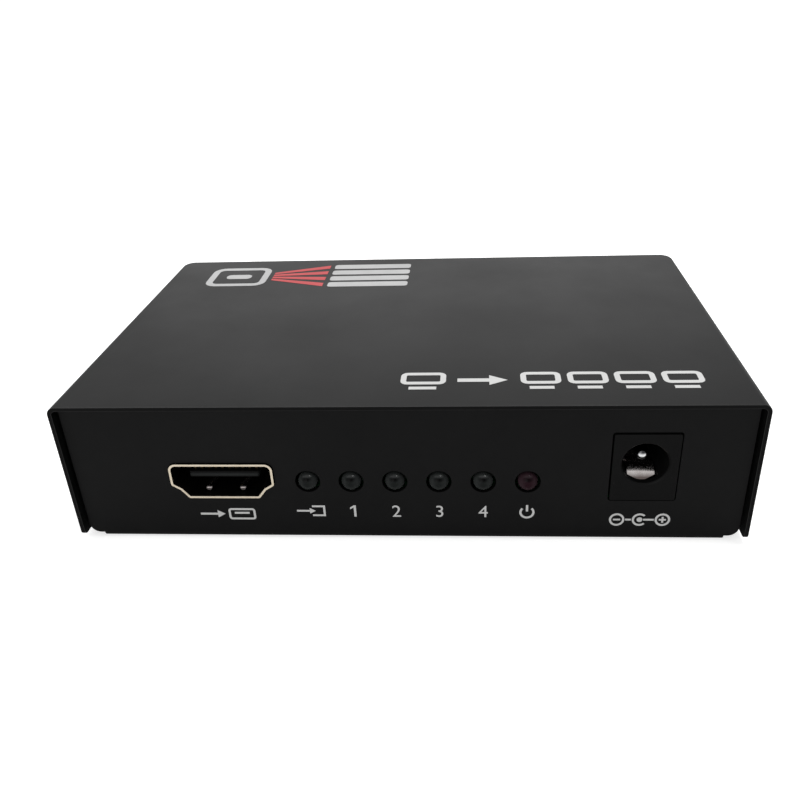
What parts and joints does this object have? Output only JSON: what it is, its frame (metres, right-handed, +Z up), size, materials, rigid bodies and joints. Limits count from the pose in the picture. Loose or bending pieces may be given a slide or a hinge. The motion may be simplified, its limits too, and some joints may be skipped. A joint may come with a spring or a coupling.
{
  "type": "video splitter",
  "caption": "Video splitter in a low folded-steel box, with an input socket, indicator lamps and a power jack at the front and output sockets at the rear.",
  "frame": {"origin": "middle of the footprint, on the surface that the box stands on", "axes": "+X along the front panel towards the power jack, +Y from the front panel to the rear, +Z up"},
  "size_m": [0.0996, 0.0604, 0.0227],
  "materials": {
    "black_painted_steel": "fine matt powder coat, black",
    "blackened_steel": "black oxide, satin",
    "zinc_plated_steel": "dull zinc plate",
    "green_laminate": "green solder mask on glass laminate",
    "gold_plated_shell": "pale gold flash on steel, bright edges",
    "gold_contact": "gold flash, bright",
    "black_moulding": "black moulded nylon, satin",
    "bright_plate": "bright nickel or tin plate",
    "tinned_wire": "tinned, bright",
    "green_lens": "green-grey tinted epoxy, unlit",
    "red_lens": "red tinted epoxy, unlit",
    "black_epoxy": "moulded chip package, matt",
    "grey_silicone": "soft grey thermal pad",
    "black_anodised": "black anodised",
    "plain_aluminium": "drawn aluminium can",
    "ferrite": "moulded ferrite, matt",
    "grey_ceramic": "fired ceramic chip"
  },
  "bodies": {
    "splitter_box": {"top_cover": "black_painted_steel", "bottom_tray": "black_painted_steel", "cover_screws": "blackened_steel", "board_screws": "zinc_plated_steel", "board_standoffs": "zinc_plated_steel", "circuit_board": "green_laminate", "power_jack_body": "black_moulding", "power_jack_pin": "bright_plate", "power_jack_sleeve_terminal": "bright_plate", "power_jack_switch_terminal": "bright_plate", "led_leads": "tinned_wire", "splitter_chip": "black_epoxy", "splitter_chip_leads": "tinned_wire", "thermal_pad": "grey_silicone", "heat_sink": "black_anodised", "crystal": "bright_plate", "voltage_regulators": "black_epoxy", "power_inductor": "ferrite", "capacitor_bases": "black_moulding", "capacitor_cans": "plain_aluminium", "memory_chips": "black_epoxy", "surge_guards": "black_epoxy", "chip_resistors": "grey_ceramic", "chip_capacitors": "grey_ceramic", "protection_diode": "black_epoxy", "resettable_fuse": "grey_ceramic", "input_port_shell": "gold_plated_shell", "input_port_insulator": "black_moulding", "input_port_contacts": "gold_contact", "output_port_1_shell": "gold_plated_shell", "output_port_1_insulator": "black_moulding", "output_port_1_contacts": "gold_contact", "output_port_2_shell": "gold_plated_shell", "output_port_2_insulator": "black_moulding", "output_port_2_contacts": "gold_contact", "output_port_3_shell": "gold_plated_shell", "output_port_3_insulator": "black_moulding", "output_port_3_contacts": "gold_contact", "output_port_4_shell": "gold_plated_shell", "output_port_4_insulator": "black_moulding", "output_port_4_contacts": "gold_contact", "led_in": "green_lens", "led_1": "green_lens", "led_2": "green_lens", "led_3": "green_lens", "led_4": "green_lens", "led_power": "red_lens"},
    "jack_leaf": {"power_jack_leaf": "bright_plate"}
  },
  "joints": [
    {"name": "jack_leaf_flex", "type": "hinge", "parent": "splitter_box", "child": "jack_leaf", "pos_m": [0.03335, -0.0201, 0.0086], "axis": [1, 0, 0], "range_deg": [0, 5], "stiffness_Nm_per_rad": 0.1}
  ]
}
